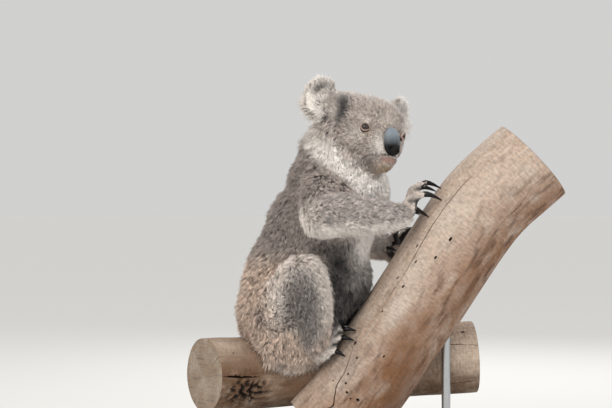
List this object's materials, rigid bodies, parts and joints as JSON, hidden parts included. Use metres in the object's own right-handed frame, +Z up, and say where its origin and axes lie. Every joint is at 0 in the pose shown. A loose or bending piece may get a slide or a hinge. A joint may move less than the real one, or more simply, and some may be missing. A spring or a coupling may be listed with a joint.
{
  "type": "koala",
  "caption": "Life-size koala sitting on a sawn log and gripping a sloping bare limb, its head turned to its right, on a flat display stand.",
  "frame": {"origin": "middle of the bounding box, on the floor under the stand's base", "axes": "+Z up; +X the way the koala's body faces, towards the limb; -Y its right side"},
  "size_m": [0.6782, 0.33, 0.7294],
  "materials": {
    "grey_fur": "dense woolly grey-brown coat, matt",
    "pale_fur": "long cream-white fur of the throat and ears, matt",
    "nose_leather": "bare leathery skin, satin",
    "eye": "glass eye, brown iris with an upright slit pupil, polished",
    "claw": "black horn, polished by use",
    "weathered_wood": "barkless eucalyptus, weathered, dry and matt",
    "stand_board": "board painted dark grey, satin",
    "stand_rod": "round steel rod, brushed"
  },
  "bodies": {
    "root": {"perch_limb": "weathered_wood", "perch_log": "weathered_wood", "eye_right": "eye", "eye_left": "eye", "nose_pad": "nose_leather", "finger_claw_right_1": "claw", "finger_claw_right_2": "claw", "finger_claw_right_3": "claw", "finger_claw_right_4": "claw", "finger_claw_right_5": "claw", "finger_claw_left_1": "claw", "finger_claw_left_2": "claw", "finger_claw_left_3": "claw", "finger_claw_left_4": "claw", "finger_claw_left_5": "claw", "toe_claw_right_1": "claw", "toe_claw_right_2": "claw", "toe_claw_right_3": "claw", "toe_claw_right_4": "claw", "toe_claw_left_1": "claw", "toe_claw_left_2": "claw", "toe_claw_left_3": "claw", "toe_claw_left_4": "claw", "head": "grey_fur", "trunk": "grey_fur", "neck": "pale_fur", "ear_right": "pale_fur", "ear_left": "pale_fur", "forearm_right": "grey_fur", "upper_arm_right": "grey_fur", "hand_right": "grey_fur", "shank_right": "grey_fur", "thigh_right": "grey_fur", "foot_right": "grey_fur", "forearm_left": "grey_fur", "upper_arm_left": "grey_fur", "hand_left": "grey_fur", "shank_left": "grey_fur", "thigh_left": "grey_fur", "foot_left": "grey_fur", "stand_base": "stand_board", "stand_rod_limb": "stand_rod", "stand_rod_log": "stand_rod"}
  },
  "joints": []
}
